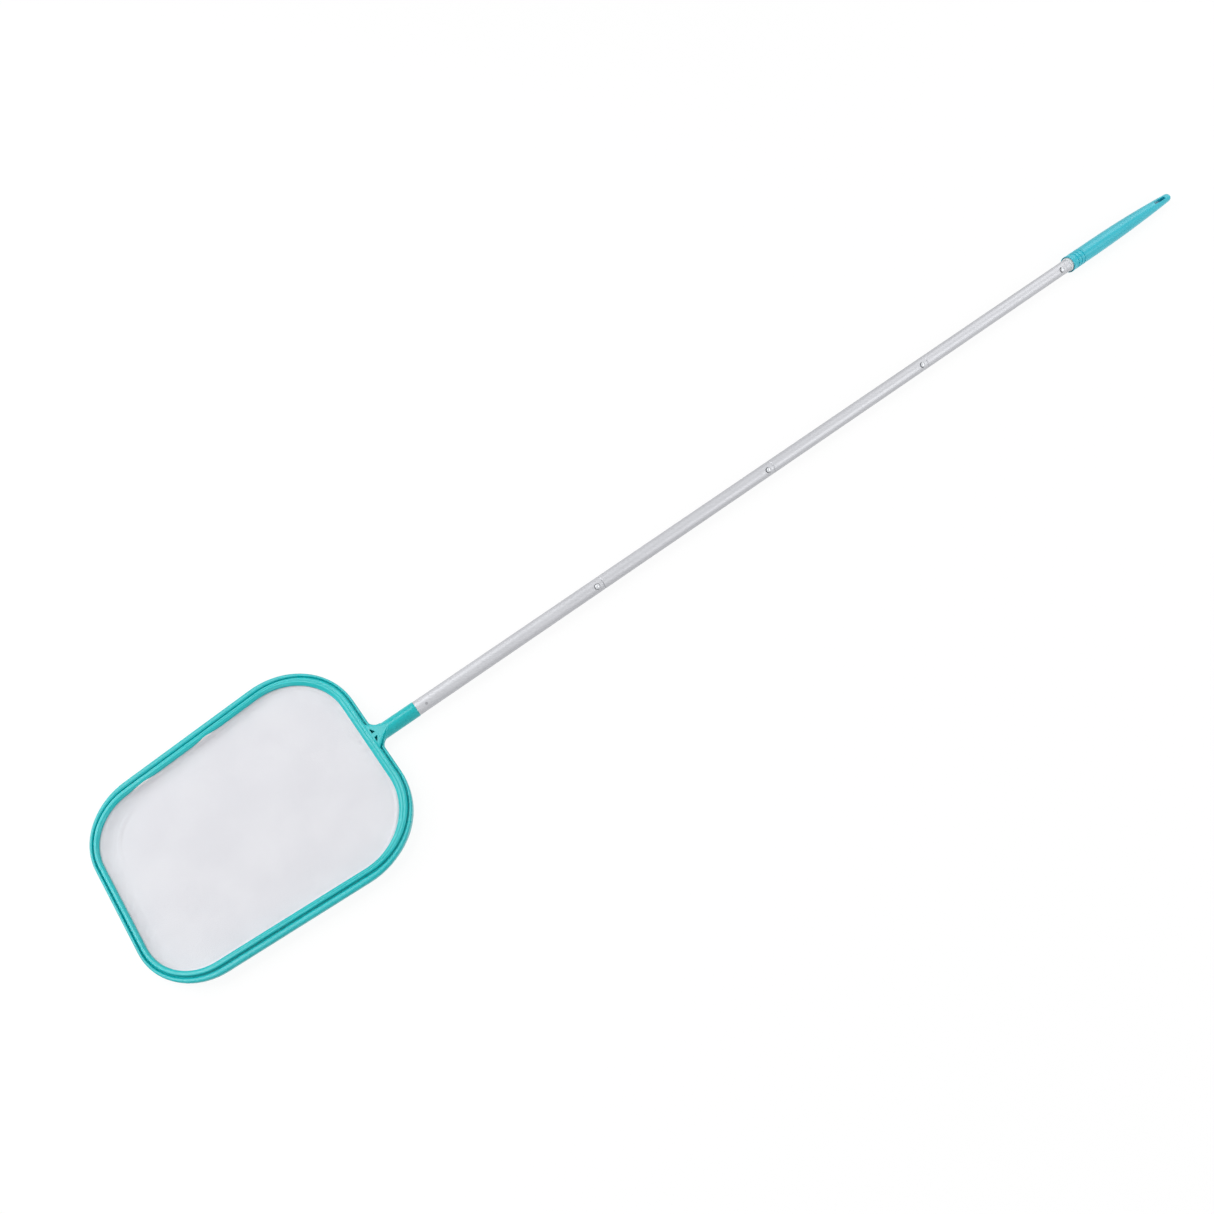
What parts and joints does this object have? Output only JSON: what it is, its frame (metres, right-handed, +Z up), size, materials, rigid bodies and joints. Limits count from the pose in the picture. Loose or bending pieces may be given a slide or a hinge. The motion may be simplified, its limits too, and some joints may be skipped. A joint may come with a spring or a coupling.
{
  "type": "leaf skimmer net",
  "caption": "Flat rounded net head clamped in a plastic frame, on a long straight sectional tube pole with snap buttons and a tapered grip.",
  "frame": {"origin": "under the middle of the whole length, on the surface the skimmer lies on", "axes": "+X along the pole from the net to the grip, +Z up through the net, +Y across the net"},
  "size_m": [1.612, 0.263, 0.0226],
  "materials": {
    "frame_plastic": "moulded, satin",
    "grip_plastic": "moulded, satin",
    "bush_plastic": "moulded, smooth",
    "net_fabric": "fine woven nylon",
    "tube_aluminium": "satin, drawn",
    "button_steel": "polished",
    "spring_steel": "rolled strip",
    "pin_steel": "dull"
  },
  "bodies": {
    "skimmer": {"net_frame": "frame_plastic", "retaining_ring": "frame_plastic", "net_mesh": "net_fabric", "locking_pin": "pin_steel", "tube_1": "tube_aluminium", "tube_2": "tube_aluminium", "tube_3": "tube_aluminium", "tube_4": "tube_aluminium", "tube_5": "tube_aluminium", "button_spring_1": "spring_steel", "button_spring_2": "spring_steel", "button_spring_3": "spring_steel", "button_spring_4": "spring_steel", "grip": "grip_plastic", "grip_bush": "bush_plastic"},
    "button_1": {"snap_button_1": "button_steel"},
    "button_2": {"snap_button_2": "button_steel"},
    "button_3": {"snap_button_3": "button_steel"},
    "button_4": {"snap_button_4": "button_steel"}
  },
  "joints": [
    {"name": "button_press_1", "type": "slide", "parent": "skimmer", "child": "button_1", "axis": [0, 0.5446, -0.8387], "range_m": [0, 0.0037], "stiffness_N_per_m": 1500, "springref_m": -0.003, "deforming": ["button_spring_1"]},
    {"name": "button_press_2", "type": "slide", "parent": "skimmer", "child": "button_2", "axis": [0, 0.5446, -0.8387], "range_m": [0, 0.0037], "stiffness_N_per_m": 1500, "springref_m": -0.003, "deforming": ["button_spring_2"]},
    {"name": "button_press_3", "type": "slide", "parent": "skimmer", "child": "button_3", "axis": [0, 0.5446, -0.8387], "range_m": [0, 0.0037], "stiffness_N_per_m": 1500, "springref_m": -0.003, "deforming": ["button_spring_3"]},
    {"name": "button_press_4", "type": "slide", "parent": "skimmer", "child": "button_4", "axis": [0, 0.5446, -0.8387], "range_m": [0, 0.0037], "stiffness_N_per_m": 1500, "springref_m": -0.003, "deforming": ["button_spring_4"]}
  ]
}
